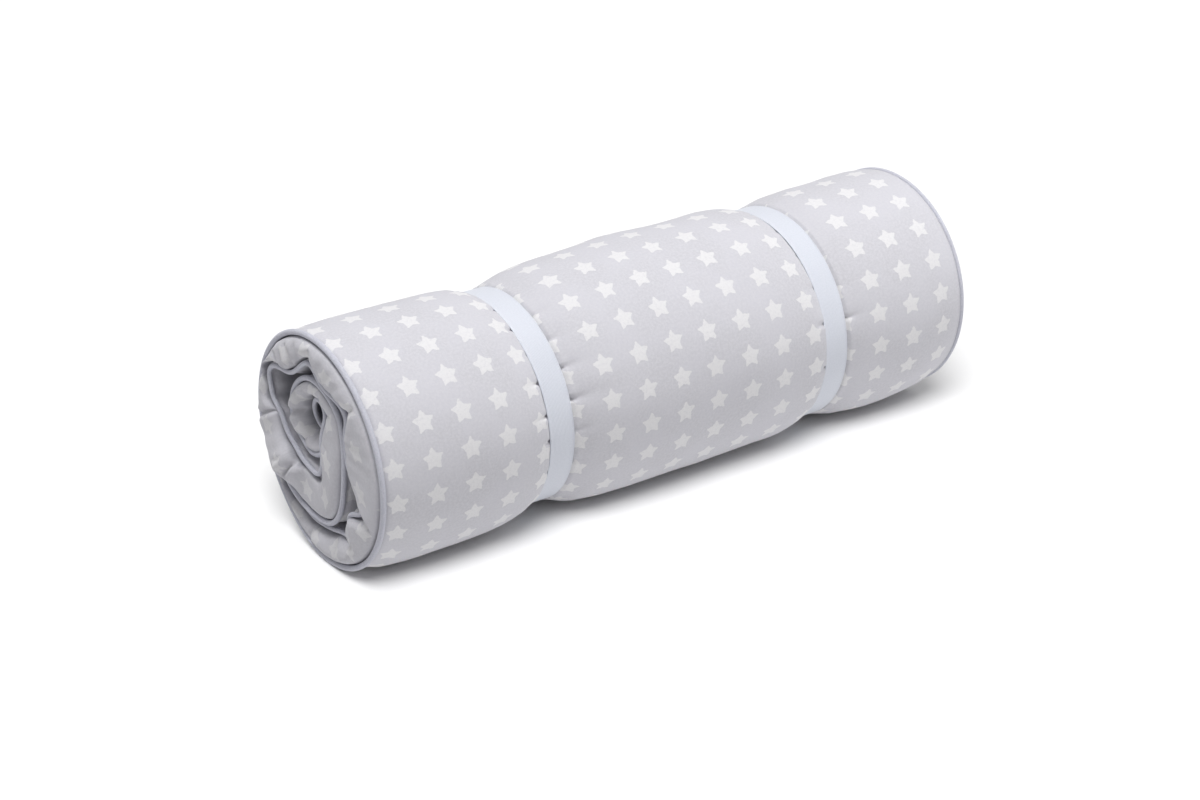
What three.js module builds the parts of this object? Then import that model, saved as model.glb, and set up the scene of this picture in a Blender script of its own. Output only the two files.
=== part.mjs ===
// A padded floor mattress, rolled up and held by two elastic bands. Millimetres and degrees.
//
// X runs along the roll, which is across the mattress, and Z is up. The origin is under the middle of the
// roll, on the surface it rests on. The front of the roll is towards -Y.
//
// A section of the roll is drawn about the fold at its core, looking from the -X end: angle 0 points to the
// front, 90 up and 180 to the back. From its free end, under the roll, the mattress is followed inwards, and
// the angle grows by 360 in each turn.

import * as THREE from "three";

const mattressWidth = 600; // between the two rims, along the roll
const rimRadius = 98.4; // the outer panel at a rim, the size that the tables of angles are drawn at
const foldFront = -20; // the fold at the core, from the roll's axis, towards the front
const foldUp = 18; // and upwards
const freeEnd = -112; // where the mattress starts, under the roll
const coreEnd = 672; // where it ends, folded in at the core
const freeEndDrop = 3.4; // how far the free end lies below the round of the roll
const freeEndTaper = 16; // the angle that it takes to rise to the round
const freeEndRoom = 5; // under the free end, for its piping
const turnGap = 1.2; // between a turn and the one inside it
const flatHalf = 14; // half the width of the flat spot that the roll rests on
const widestStep = 16; // between two sections along the winding
const closestStep = 8;
const coreEndStep = 36; // before the core end, where the sections crowd together
const evenFrom = 430; // between these angles the second turn is evenly round, and takes half the sections
const evenTo = 560;
const normalReach = 3; // half the angle that a face's slope is taken over

const pipingRadius = 2.5;
const pipingSides = 5;
const clearance = 1.3; // between the middle of a seam and its piping, so that it clears the corners too
const seamBevel = 5.6; // the edge that the piping lies on, measured along each face
const endBevel = 7; // the same at the free end and the core end, where the faces curve more
const endStandOff = 0.8; // and how much further out the piping lies there
const pipingRoom = 5.4; // more room between the turns at an end, for two pipings side by side
const pipingRoomDepth = 22;
const endBulge = 3.5; // how far the boxing strip stands out between its two pipings
const thinnestEnd = 12; // least thickness of the pad at its ends

const cornerPull = 4; // how far the pad's corners are rounded in

const bandWidth = 24;
const bandThickness = 1.2;
const bandSides = 32;
const bandClearance = 0.4;
const bandSeat = 24.8; // the groove that a band pulls into the roll
const skewReach = 60; // a band's skew has faded out this far from its middle
// A skewed band's underside sits further along than its top, by this share of the height between them.
const bands = [
  { name: "band_near", middle: 171.5, radius: 90.6, low: 10.2, skew: 0.03 },
  { name: "band_far", middle: 457.5, radius: 94.8, low: 7, skew: 0.03 },
];

// The outside of the roll from the near rim: its radius, and the height of its underside. A low of -1.2 is
// pressed flat by that much.
const girths = [
  { along: 0, radius: 98.4, low: 3.4 },
  { along: 5, radius: 98.6, low: 3.2 },
  { along: 22, radius: 100.4, low: 0.5 },
  { along: 60, radius: 101.6, low: -1.2 },
  { along: 112, radius: 101.3, low: -1.2 },
  { along: 145, radius: 98, low: 2.5 },
  { along: 157.2, radius: 94.2, low: 6.5 },
  { along: 185.8, radius: 94.2, low: 6.5 },
  { along: 203, radius: 98.8, low: 2.5 },
  { along: 245, radius: 103, low: -1.2 },
  { along: 320, radius: 104.2, low: -1.2 },
  { along: 405, radius: 103.4, low: -1.2 },
  { along: 433, radius: 101, low: 1.5 },
  { along: 443.2, radius: 98, low: 4 },
  { along: 471.8, radius: 98, low: 4 },
  { along: 489, radius: 101, low: 1.5 },
  { along: 540, radius: 103.1, low: -1.2 },
  { along: 578, radius: 102.6, low: 0.5 },
  { along: 595, radius: 100.6, low: 3.2 },
  { along: 600, radius: 100.4, low: 3.4 },
];

// The outer panel where it has passed under the free end: its distance from the fold at the core.
const outerFace = [
  { angle: 226, radius: 94 },
  { angle: 238, radius: 90 },
  { angle: 247, radius: 85 },
  { angle: 270, radius: 83 },
  { angle: 292, radius: 86 },
  { angle: 303, radius: 82 },
  { angle: 312, radius: 76.5 },
  { angle: 326, radius: 67 },
  { angle: 343, radius: 60 },
  { angle: 362, radius: 57 },
  { angle: 386, radius: 56 },
  { angle: 399, radius: 51.5 },
  { angle: 412, radius: 47 },
  { angle: 436, radius: 40.5 },
  { angle: 473, radius: 37 },
  { angle: 495, radius: 35.5 },
  { angle: 518, radius: 33 },
  { angle: 554, radius: 34 },
  { angle: 578, radius: 32.5 },
  { angle: 596, radius: 28.5 },
  { angle: 614, radius: 34.5 },
  { angle: 638, radius: 31.5 },
  { angle: 655, radius: 29 },
  { angle: 672, radius: 27 },
];

// The inner panel round the core, where no turn lies inside it.
const coreFace = [
  { angle: 290, radius: 33 },
  { angle: 312, radius: 33 },
  { angle: 322, radius: 28 },
  { angle: 334, radius: 20.5 },
  { angle: 346, radius: 17.5 },
  { angle: 366, radius: 18 },
  { angle: 390, radius: 24 },
  { angle: 412, radius: 19 },
  { angle: 450, radius: 13 },
  { angle: 495, radius: 7.5 },
  { angle: 540, radius: 6.5 },
  { angle: 610, radius: 6.5 },
  { angle: 640, radius: 9 },
  { angle: 672, radius: 13.5 },
];

// Hollows at the ends, where the crowded inner edge of the pad folds away from the turn inside it.
const hollows = [
  { angle: -92, before: 12, after: 14, lift: 3 },
  { angle: -52, before: 14, after: 12, lift: 14 },
  { angle: -28, before: 18, after: 18, lift: 27 },
  { angle: 26, before: 16, after: 26, lift: 13 },
  { angle: 77, before: 20, after: 22, lift: 12 },
  { angle: 158, before: 34, after: 30, lift: 25 },
  { angle: 206, before: 18, after: 40, lift: 14 },
  { angle: 292, before: 28, after: 24, lift: 10 },
];
const hollowDepth = 60; // how far the hollows reach into the roll
const hollowPoint = 1.4; // how pointed they are: 1 is a plain wedge
const farEndHollow = 0.55; // the far end is rolled more evenly

const cloth = new THREE.MeshStandardMaterial({ color: 0xcfcfd8, roughness: 0.9, metalness: 0 });
const pipingCloth = new THREE.MeshStandardMaterial({ color: 0xc6c8d4, roughness: 0.85, metalness: 0 });
const elastic = new THREE.MeshStandardMaterial({ color: 0xe6ebf5, roughness: 0.6, metalness: 0 });

const toRadians = THREE.MathUtils.degToRad;
const { smoothstep } = THREE.MathUtils;

// The value of a table's column at a place between its rows, on a smooth curve through them.
function valueAt(rows, placeKey, valueKey, place) {
  const last = rows.length - 1;
  if (place <= rows[0][placeKey]) return rows[0][valueKey];
  if (place >= rows[last][placeKey]) return rows[last][valueKey];
  const i = rows.findIndex((row) => row[placeKey] > place) - 1;
  const slope = (k) => {
    const a = rows[Math.max(k - 1, 0)];
    const b = rows[Math.min(k + 1, last)];
    return (b[valueKey] - a[valueKey]) / (b[placeKey] - a[placeKey]);
  };
  const span = rows[i + 1][placeKey] - rows[i][placeKey];
  const t = (place - rows[i][placeKey]) / span;
  const rise = rows[i + 1][valueKey] - rows[i][valueKey];
  const start = slope(i) * span;
  const finish = slope(i + 1) * span;
  const bend = (3 * rise - 2 * start - finish) * t ** 2 + (start + finish - 2 * rise) * t ** 3;
  return rows[i][valueKey] + start * t + bend;
}

// How far the round outside of the roll is from the fold at the core.
function rimDistance(angle) {
  const towards = foldFront * Math.cos(toRadians(angle)) + foldUp * Math.sin(toRadians(angle));
  return -towards + Math.sqrt(towards ** 2 - foldFront ** 2 - foldUp ** 2 + rimRadius ** 2);
}

function outerRadius(angle) {
  const round = rimDistance(angle) - freeEndDrop * (1 - smoothstep(angle, freeEnd, freeEnd + freeEndTaper));
  if (angle < outerFace[0].angle) return round;
  return Math.min(round, valueAt(outerFace, "angle", "radius", angle));
}

function hollowLift(angle) {
  let lift = 0;
  for (const { angle: deepest, before, after, lift: most } of hollows) {
    const away = Math.abs(angle - deepest) / (angle < deepest ? before : after);
    if (away < 1) lift += most * (1 - away) ** hollowPoint;
  }
  return lift;
}

// The inner panel, at a depth from the end that it is nearer to.
function innerRadius(angle, depth, hollowShare) {
  const atEnd = pipingRoom * (1 - smoothstep(depth, 0, pipingRoomDepth));
  const atFreeEnd = freeEndRoom * (1 - smoothstep(angle, freeEnd, freeEnd + freeEndTaper));
  const room = turnGap + Math.max(atEnd, atFreeEnd);
  const nextTurn = angle + 360 <= coreEnd ? outerRadius(angle + 360) + room : 0;
  const core = angle >= coreFace[0].angle ? valueAt(coreFace, "angle", "radius", angle) : 0;
  const hollow = hollowShare * hollowLift(angle) * (1 - smoothstep(depth, 0, hollowDepth));
  return Math.min(Math.max(nextTurn, core) + hollow, outerRadius(angle) - thinnestEnd);
}

function girthAt(along) {
  const seated = bands.find((band) => Math.abs(along - band.middle) < bandSeat / 2 + bandClearance);
  if (seated) return seated;
  return { radius: valueAt(girths, "along", "radius", along), low: valueAt(girths, "along", "low", along) };
}

function skewAt(along) {
  let share = 0;
  for (const { middle, skew } of bands) {
    share += skew * (1 - smoothstep(Math.abs(along - middle), bandSeat / 2, skewReach));
  }
  return share;
}

// A point of a section, placed in the part.
function place({ front, up }, along) {
  const { radius, low } = girthAt(THREE.MathUtils.clamp(along, 0, mattressWidth));
  const size = radius / rimRadius;
  const x = along - mattressWidth / 2 - skewAt(along) * up * size;
  return new THREE.Vector3(x, -front * size, Math.max(low + radius + up * size, 0));
}

function faceRadii(angle, along) {
  const nearer = along < mattressWidth / 2;
  const outer = outerRadius(angle);
  const inner = innerRadius(angle, nearer ? along : mattressWidth - along, nearer ? 1 : farEndHollow);
  return { outer, inner };
}

function facePoint(face, angle, along) {
  const distance = faceRadii(angle, along)[face];
  return {
    front: foldFront + distance * Math.cos(toRadians(angle)),
    up: foldUp + distance * Math.sin(toRadians(angle)),
  };
}

// The direction in a section that points out of the pad from one of its faces.
function faceNormal(face, angle, along) {
  const before = facePoint(face, angle - normalReach, along);
  const after = facePoint(face, angle + normalReach, along);
  const length = Math.hypot(after.front - before.front, after.up - before.up);
  const outwards = face === "outer" ? 1 : -1;
  return {
    front: (outwards * (after.up - before.up)) / length,
    up: (outwards * (before.front - after.front)) / length,
  };
}

function belowFace(face, angle, along, depth) {
  const point = facePoint(face, angle, along);
  const normal = faceNormal(face, angle, along);
  return { front: point.front - depth * normal.front, up: point.up - depth * normal.up };
}

// Angles of the sections along the winding: the same directions in every turn, so that the turns stay clear.
function sectionAngles() {
  const marks = [-flatHalf, flatHalf].map((side) => {
    return THREE.MathUtils.radToDeg(Math.atan2(-rimRadius - foldUp, side - foldFront));
  });
  marks.push(freeEnd, coreEnd);
  for (const { angle } of hollows) marks.push(angle);
  for (const { angle, before, after } of hollows) marks.push(angle - before, angle + after);
  const kept = [];
  for (const mark of marks) {
    const direction = THREE.MathUtils.euclideanModulo(mark, 360);
    const between = kept.map((other) => Math.abs(direction - other));
    if (between.every((gap) => gap > closestStep && gap < 360 - closestStep)) kept.push(direction);
  }
  kept.sort((a, b) => a - b);
  const directions = [];
  kept.forEach((angle, i) => {
    const next = i + 1 < kept.length ? kept[i + 1] : kept[0] + 360;
    const steps = Math.ceil((next - angle) / widestStep);
    for (let k = 0; k < steps; k++) directions.push(angle + ((next - angle) * k) / steps);
  });
  const angles = [];
  for (let turn = -1; turn <= 2; turn++) {
    for (const direction of directions) {
      const angle = direction + 360 * turn;
      if (angle > freeEnd + closestStep && angle < coreEnd - coreEndStep) angles.push(angle);
    }
  }
  angles.sort((a, b) => a - b);
  return angles.filter((angle, i) => i % 2 === 0 || angle < evenFrom || angle > evenTo);
}

// The pad's rows along the roll: the girths but those beside the rims, the bands' edges and the two seams.
const angles = sectionAngles();
const rows = [seamBevel];
for (const { along } of girths.slice(2, -2)) rows.push(along);
for (const { middle } of bands) rows.push(middle - bandSeat / 2, middle + bandSeat / 2);
rows.push(mattressWidth - seamBevel);
rows.sort((a, b) => a - b);

// The pad's rim, once round: along the near end, the core end, back along the far end, and the free end.
function rimSteps() {
  const steps = [];
  const lastAngle = angles.length + 1;
  const lastRow = rows.length - 1;
  for (let i = 0; i < lastAngle; i++) steps.push([i, 0]);
  for (let j = 0; j < lastRow; j++) steps.push([lastAngle, j]);
  for (let i = lastAngle; i > 0; i--) steps.push([i, lastRow]);
  for (let j = lastRow; j > 0; j--) steps.push([0, j]);
  return steps;
}

// A rim step's angle and place along the roll, a given distance in from the pad's edge.
function rimPoint([i, j], face, inset, endInset = inset) {
  const atStart = i === 0;
  const atCore = i === angles.length + 1;
  const atEnd = j === 0 || j === rows.length - 1;
  const pull = (atStart || atCore) && atEnd ? cornerPull : 0;
  let along = rows[j];
  if (j === 0) along = inset + pull;
  if (j === rows.length - 1) along = mattressWidth - inset - pull;
  let angle = angles[i - 1];
  if (atStart || atCore) {
    const edge = atStart ? freeEnd : coreEnd;
    const distance = faceRadii(edge, along)[face];
    const turn = THREE.MathUtils.radToDeg((endInset + pull) / distance);
    angle = atStart ? edge + turn : edge - turn;
  }
  return { angle, along };
}

function buildPad() {
  const positions = [];
  const index = [];
  const add = (point) => positions.push(point.x, point.y, point.z) / 3 - 1;
  const quad = (a, b, c, d) => index.push(a, b, c, a, c, d);

  const face = (name) => {
    const grid = [];
    for (let i = 0; i <= angles.length + 1; i++) {
      const line = rows.map((along, j) => {
        const onRim = i === 0 || i === angles.length + 1 || j === 0 || j === rows.length - 1;
        const at = onRim ? rimPoint([i, j], name, seamBevel, endBevel) : { angle: angles[i - 1], along };
        return add(place(facePoint(name, at.angle, at.along), at.along));
      });
      grid.push(line);
    }
    return grid;
  };
  const outer = face("outer");
  const inner = face("inner");
  for (let i = 0; i <= angles.length; i++) {
    for (let j = 0; j < rows.length - 1; j++) {
      quad(outer[i][j], outer[i][j + 1], outer[i + 1][j + 1], outer[i + 1][j]);
      quad(inner[i][j], inner[i + 1][j], inner[i + 1][j + 1], inner[i][j + 1]);
    }
  }

  const steps = rimSteps();
  const seam = (name) => {
    return steps.map((step) => {
      const { angle, along } = rimPoint(step, name, 0);
      return place(belowFace(name, angle, along, seamBevel), along);
    });
  };
  const outerSeam = seam("outer");
  const innerSeam = seam("inner");
  const middle = steps.map(([, j], n) => {
    const point = outerSeam[n].clone().lerp(innerSeam[n], 0.5);
    if (j === 0) point.x -= endBulge;
    if (j === rows.length - 1) point.x += endBulge;
    return point;
  });
  const loops = [
    steps.map(([i, j]) => outer[i][j]),
    outerSeam.map(add),
    middle.map(add),
    innerSeam.map(add),
    steps.map(([i, j]) => inner[i][j]),
  ];
  for (let k = 0; k < loops.length - 1; k++) {
    steps.forEach((_, n) => {
      const m = (n + 1) % steps.length;
      quad(loops[k][n], loops[k][m], loops[k + 1][m], loops[k + 1][n]);
    });
  }
  return solid(positions, index);
}

function solid(positions, index) {
  const geometry = new THREE.BufferGeometry();
  geometry.setAttribute("position", new THREE.Float32BufferAttribute(positions, 3));
  geometry.setIndex(index);
  geometry.computeVertexNormals();
  return geometry;
}

// A closed cord along points, each with the direction that points out of the roll there.
function buildLoop(points, outward, radius, sides) {
  const positions = [];
  const index = [];
  const count = points.length;
  points.forEach((point, n) => {
    const before = points[(n + count - 1) % count];
    const after = points[(n + 1) % count];
    const tangent = after.clone().sub(before).normalize();
    const across = new THREE.Vector3().crossVectors(tangent, outward[n]).normalize();
    const up = new THREE.Vector3().crossVectors(across, tangent);
    for (let side = 0; side < sides; side++) {
      const turn = (2 * Math.PI * side) / sides;
      const corner = point.clone();
      corner.addScaledVector(up, radius * Math.cos(turn));
      corner.addScaledVector(across, radius * Math.sin(turn));
      positions.push(corner.x, corner.y, corner.z);
      const next = (side + 1) % sides;
      const ahead = ((n + 1) % count) * sides;
      index.push(n * sides + side, n * sides + next, ahead + next);
      index.push(n * sides + side, ahead + next, ahead + side);
    }
  });
  return solid(positions, index);
}

function buildPiping(face) {
  const sink = (seamBevel - Math.SQRT2 * (pipingRadius + clearance)) / 2;
  const points = [];
  const outward = [];
  for (const step of rimSteps()) {
    const { angle, along } = rimPoint(step, face, sink, sink - endStandOff);
    const normal = faceNormal(face, angle, along);
    points.push(place(belowFace(face, angle, along, sink), along));
    outward.push(new THREE.Vector3(0, -normal.front, normal.up));
  }
  return buildLoop(points, outward, pipingRadius, pipingSides);
}

function buildBand({ radius, low, skew }) {
  const inside = (radius + bandClearance) / Math.cos(Math.PI / bandSides);
  const outside = inside + bandThickness;
  const positions = [];
  const index = [];
  for (let n = 0; n < bandSides; n++) {
    const turn = (2 * Math.PI * n) / bandSides;
    const corners = [
      [inside, -bandWidth / 2],
      [outside, -bandWidth / 2],
      [outside, bandWidth / 2],
      [inside, bandWidth / 2],
    ];
    corners.forEach(([distance, across], k) => {
      const up = distance * Math.sin(turn);
      positions.push(across - skew * up, distance * Math.cos(turn), low + radius + up);
      const a = n * 4 + k;
      const b = n * 4 + ((k + 1) % 4);
      const ahead = ((n + 1) % bandSides) * 4;
      index.push(a, ahead + ((k + 1) % 4), b, a, ahead + k, ahead + ((k + 1) % 4));
    });
  }
  return solid(positions, index);
}

function named(name, geometry, material) {
  const mesh = new THREE.Mesh(geometry, material);
  mesh.name = name;
  return mesh;
}

const roll = new THREE.Group();
roll.add(named("mattress", buildPad(), cloth));
roll.add(named("piping_outer", buildPiping("outer"), pipingCloth));
roll.add(named("piping_inner", buildPiping("inner"), pipingCloth));
for (const band of bands) {
  const mesh = named(band.name, buildBand(band), elastic);
  mesh.position.x = band.middle - mattressWidth / 2;
  roll.add(mesh);
}

export default roll;
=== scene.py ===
import math

import bpy
import numpy as np
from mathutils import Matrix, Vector


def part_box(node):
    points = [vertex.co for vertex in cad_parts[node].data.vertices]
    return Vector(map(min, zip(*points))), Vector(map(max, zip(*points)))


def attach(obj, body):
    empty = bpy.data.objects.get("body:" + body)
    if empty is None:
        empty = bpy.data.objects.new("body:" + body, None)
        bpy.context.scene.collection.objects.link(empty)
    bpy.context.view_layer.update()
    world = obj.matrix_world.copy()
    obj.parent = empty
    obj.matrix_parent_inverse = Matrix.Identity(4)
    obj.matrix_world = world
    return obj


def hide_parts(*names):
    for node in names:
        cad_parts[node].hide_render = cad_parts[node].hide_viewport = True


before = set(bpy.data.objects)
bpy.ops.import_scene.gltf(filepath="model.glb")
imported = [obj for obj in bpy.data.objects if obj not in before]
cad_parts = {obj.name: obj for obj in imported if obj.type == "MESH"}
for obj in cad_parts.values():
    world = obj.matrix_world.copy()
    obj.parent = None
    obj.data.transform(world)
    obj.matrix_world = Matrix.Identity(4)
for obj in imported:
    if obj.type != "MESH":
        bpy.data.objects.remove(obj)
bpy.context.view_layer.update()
mm = 0.001
print("packed model loaded")

# How the pad is rolled, in millimetres and degrees. A section is drawn about the fold at the core of the
# roll: angle 0 points to the front (-Y), 90 up and 180 to the back, growing by 360 a turn from the free end
# inwards.
rolling = {
    "width": 600,
    "rimRadius": 98.4,       # of the roll at its near rim, which the tables are drawn at
    "foldFront": -20,        # the fold, from the roll's axis
    "foldUp": 18,
    "freeEnd": -140,
    "coreEnd": 672,
    "freeEndDrop": 5,        # the free end lies this far below the round
    "roundAgain": (-120, -80),
    "freeEndRoom": 5.4,      # and leaves this for its piping
    "freeEndTaper": 16,
    "turnGap": 1.2,
    "pipingRoom": 5.4,       # two pipings lie between the turns at each end
    "pipingRoomDepth": 22,
    "thinnest": 7,
    "cornerRound": 9,
    "coreMouth": 0.05,       # the opening of the core is this much narrower than it is further in
    "hollowMouth": 20,       # the hollows keep their size for this far into the roll
    "hollowDepth": 110,      # and have ended here
    "farEndHollow": 0.55,    # share of their size at the far end
}

# along the roll, radius, height of the underside (below 0 it is pressed flat)
girths = [
    (0, 98.4, 3.4), (5, 98.6, 3.2), (22, 100.4, 0.5), (60, 101.6, -1.2), (112, 101.3, -1.2), (145, 98, 2.5),
    (157.2, 94.2, 6.5), (185.8, 94.2, 6.5), (203, 98.8, 2.5), (245, 103, -1.2), (320, 104.2, -1.2),
    (405, 103.4, -1.2), (433, 101, 1.5), (443.2, 98.4, 3.6), (471.8, 98, 4), (489, 101, 1.5),
    (540, 103.1, -1.2), (578, 102.6, 0.5), (595, 100.6, 3.2), (600, 100.4, 3.4),
]

# angle, distance of the outer panel from the fold once it has passed under the free end
outerFace = [
    (198, 83.5), (208, 81.5), (219, 77.5), (230, 77.5), (242, 80), (255, 82), (270, 83), (292, 86), (303, 82),
    (312, 76.5), (326, 67), (343, 60), (362, 57), (386, 56), (399, 51.5), (412, 47), (436, 41), (460, 36.5),
    (481, 33.6), (518, 33.5), (540, 35), (560, 35.5), (578, 34.5), (596, 30), (612, 33.5), (638, 31.5),
    (655, 29), (672, 27),
]

# angle, distance of the inner panel from the fold, round the core
coreFace = [
    (290, 33), (312, 33), (322, 28), (334, 22), (346, 20), (366, 22), (390, 28), (412, 25), (450, 18),
    (495, 15), (540, 18), (610, 15), (640, 14), (672, 15),
]

# folds at the near end: angle, spread before and after it, how far the inner edge stands off
hollows = [
    (-92, 12, 14, 3), (-52, 14, 12, 14), (-28, 18, 18, 27), (26, 16, 26, 13), (77, 20, 30, 12),
    (158, 36, 36, 25), (181, 12, 9, 8), (292, 28, 24, 10),
]


def smooth(x, low, high):
    t = np.clip((x - low) / (high - low), 0, 1)
    return t * t * (3 - 2 * t)


def throughRows(rows, column, places):
    known = np.array([row[0] for row in rows], float)
    value = np.array([row[column] for row in rows], float)
    slope = np.gradient(value, known)
    slope[1:-1] = (value[2:] - value[:-2]) / (known[2:] - known[:-2])
    places = np.clip(places, known[0], known[-1])
    i = np.clip(np.searchsorted(known, places, side="right") - 1, 0, len(known) - 2)
    span = known[i + 1] - known[i]
    t = (places - known[i]) / span
    rise = value[i + 1] - value[i]
    start, finish = slope[i] * span, slope[i + 1] * span
    return value[i] + start * t + (3 * rise - 2 * start - finish) * t**2 + (start + finish - 2 * rise) * t**3


# the larger of two, with the corner between them eased
def largerOf(a, b, ease=2.0):
    return (a + b + np.sqrt((a - b) ** 2 + ease**2)) / 2


def outerRadius(angle):
    a = np.radians(angle)
    towards = rolling["foldFront"] * np.cos(a) + rolling["foldUp"] * np.sin(a)
    reach = rolling["rimRadius"] ** 2 - rolling["foldFront"] ** 2 - rolling["foldUp"] ** 2
    drop = rolling["freeEndDrop"] * (1 - smooth(angle, *rolling["roundAgain"]))
    fullRound = -towards + np.sqrt(towards**2 + reach) - drop
    wound = np.minimum(fullRound, throughRows(outerFace, 1, angle))
    return np.where(angle < outerFace[0][0], fullRound, wound)


def hollowLift(angle, pointed=0.16):
    lift = np.zeros_like(angle, dtype=float)
    for deepest, before, after, most in hollows:
        away = np.abs(angle - deepest) / np.where(angle < deepest, before, after)
        eased = np.clip(1 - np.sqrt(away**2 + pointed**2), 0, None) / (1 - pointed)
        lift += most * eased**1.4
    return lift


def innerRadius(angle, along):
    fromRim = np.minimum(along, rolling["width"] - along)
    share = np.where(along < rolling["width"] / 2, 1.0, rolling["farEndHollow"])
    taper = smooth(angle, rolling["freeEnd"], rolling["freeEnd"] + rolling["freeEndTaper"])
    atRim = rolling["pipingRoom"] * (1 - smooth(fromRim, 0, rolling["pipingRoomDepth"]))
    room = rolling["turnGap"] + np.maximum(atRim, rolling["freeEndRoom"] * (1 - taper))
    hasTurn = angle + 360 <= rolling["coreEnd"]
    nextTurn = np.where(hasTurn, outerRadius(angle + 360) + room, 0)
    core = np.where(angle >= coreFace[0][0], throughRows(coreFace, 1, angle), 0)
    mouth = smooth(angle, 330, 370) * (1 - smooth(fromRim, 0, 30))
    core = core * (1 - rolling["coreMouth"] * mouth)
    fading = 1 - smooth(fromRim, rolling["hollowMouth"], rolling["hollowDepth"])
    hollow = share * hollowLift(angle) * fading
    lifted = np.maximum(nextTurn, core) + hollow
    return -largerOf(-lifted, -(outerRadius(angle) - rolling["thinnest"]))


def faceRadius(face, angle, along):
    return outerRadius(angle) if face == "outer" else innerRadius(angle, along)


def sectionPoint(face, angle, along):
    distance = faceRadius(face, angle, along)
    a = np.radians(angle)
    return rolling["foldFront"] + distance * np.cos(a), rolling["foldUp"] + distance * np.sin(a)


# the unit tangent of a face in a section, in the way the pad is rolled, and its normal out of the pad
def sectionDirections(face, angle, along, reach=1.5):
    fore = sectionPoint(face, angle + reach, along)
    back = sectionPoint(face, angle - reach, along)
    front, up = fore[0] - back[0], fore[1] - back[1]
    length = np.hypot(front, up)
    front, up = front / length, up / length
    side = 1 if face == "outer" else -1
    return (front, up), (side * up, -side * front)


# How a band lies on the roll.
bandLie = {
    "skew": 0.03,            # its underside sits further along than its top, by this share of the height
    "skewFade": 48,          # and the cloth beside it straightens out over this much
    "underside": 1.6,        # the cloth's seat below the band's outside
    "solidSides": 32,        # flat sides of the solid band's ring
    "settle": 30,            # the roll is back at its own height this far from a band
}


def bandFromFrame(name):
    low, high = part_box(name)
    outside = (high.z - low.z) / 2 / mm
    seat = outside * math.cos(math.pi / bandLie["solidSides"]) - bandLie["underside"]
    return {
        "name": name,
        "left": low.x / mm + rolling["width"] / 2 + bandLie["skew"] * outside,
        "right": high.x / mm + rolling["width"] / 2 - bandLie["skew"] * outside,
        "outside": outside,
        "seat": seat,
        "axisUp": (high.z + low.z) / 2 / mm,
    }


bands = [bandFromFrame("band_near"), bandFromFrame("band_far")]


# radius and axis height of the roll along its length, with a rounded lip down to each band's seat
def girthAt(along, lip=2.8):
    radius = throughRows(girths, 1, along)
    axisUp = radius + throughRows(girths, 2, along)
    for band in bands:
        outside = np.maximum(band["left"] - along, along - band["right"])
        rounding = np.clip(outside / lip, 0, 1)
        share = np.sqrt(np.clip(1 - (1 - rounding) ** 2, 0, 1))
        near = outside < bandLie["settle"]
        radius = np.where(near, band["seat"] + (radius - band["seat"]) * share, radius)
        back = smooth(outside, 0, bandLie["settle"])
        axisUp = np.where(near, band["axisUp"] + (axisUp - band["axisUp"]) * back, axisUp)
    return radius, axisUp


# Where the inner panel is drawn into the roll at its ends: angle, how far.
drawnIn = [
    (-140, 2), (-95, 5), (-60, 4), (-45, 0), (250, 0), (330, 1), (390, 6), (450, 11), (540, 17), (672, 18),
]


def drawIn(face, angle, along):
    fromRim = np.minimum(along, rolling["width"] - along)
    share = 1 if face == "inner" else 0.35 * smooth(angle, 250, 350)
    deep = throughRows(drawnIn, 1, angle) * share * (1 - smooth(fromRim, 0, 40))
    return np.where(along < rolling["width"] / 2, deep, -deep)


def skewAt(along):
    outside = [np.maximum(band["left"] - along, along - band["right"]) for band in bands]
    return sum(bandLie["skew"] * (1 - smooth(away, 0, bandLie["skewFade"])) for away in outside)


def placed(front, up, along):
    radius, axisUp = girthAt(np.clip(along, 0, rolling["width"]))
    size = radius / rolling["rimRadius"]
    x = along - rolling["width"] / 2 - skewAt(along) * up * size
    return np.stack([x, -front * size, np.maximum(axisUp + up * size, 0)], -1)


# A gentle unevenness from -1 to 1, as a sum of plane waves over two lengths in millimetres.
def uneven(u, v, size, seed, waves=9):
    random = np.random.default_rng(seed)
    total = np.zeros(np.broadcast(u, v).shape)
    for _ in range(waves):
        heading = random.uniform(0, 2 * math.pi)
        pitch = size * random.uniform(0.7, 1.6)
        phase = random.uniform(0, 2 * math.pi)
        total += np.sin(2 * math.pi * (u * math.cos(heading) + v * math.sin(heading)) / pitch + phase)
    return total / math.sqrt(waves) / 1.5


# The printed cotton. Its columns of stars run round the roll, and its rows along it.
cotton = {
    "columnPitch": 35.2,
    "rowPitch": 30.9,
    "firstRow": 22.2,        # from the foremost line of the roll, upwards
    "rowDrift": 3.5,         # the print runs this much out of true over the roll's length
    "columnLean": 0.045,     # and its columns lean by this much, below the line they start at
    "leanFrom": 100,
    "roundRadius": 102.8,    # the girth that the cloth is measured at
    "innerShift": 17,        # of the inner panel's print along the roll
}

# along the roll, along the cloth from a column of stars: the cloth dips in at the bands
clothAlong = [
    (0, -8), (8, 0), (147, 140.8), (214.5, 211.2), (318, 316.8), (426, 422.4), (499, 492.8), (600, 592),
]

denseAngles = np.arange(rolling["freeEnd"], rolling["coreEnd"] + 0.5, 0.5)


# length round a face from the roll's foremost line, at every dense angle
def lengthRound(face):
    front, up = sectionPoint(face, denseAngles, np.full_like(denseAngles, rolling["width"] / 2))
    steps = np.hypot(np.diff(front), np.diff(up))
    length = np.concatenate([[0], np.cumsum(steps)]) * cotton["roundRadius"] / rolling["rimRadius"]
    foremost = math.degrees(math.atan2(-rolling["foldUp"], rolling["rimRadius"] - rolling["foldFront"]))
    return length - np.interp(foremost, denseAngles, length)


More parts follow.
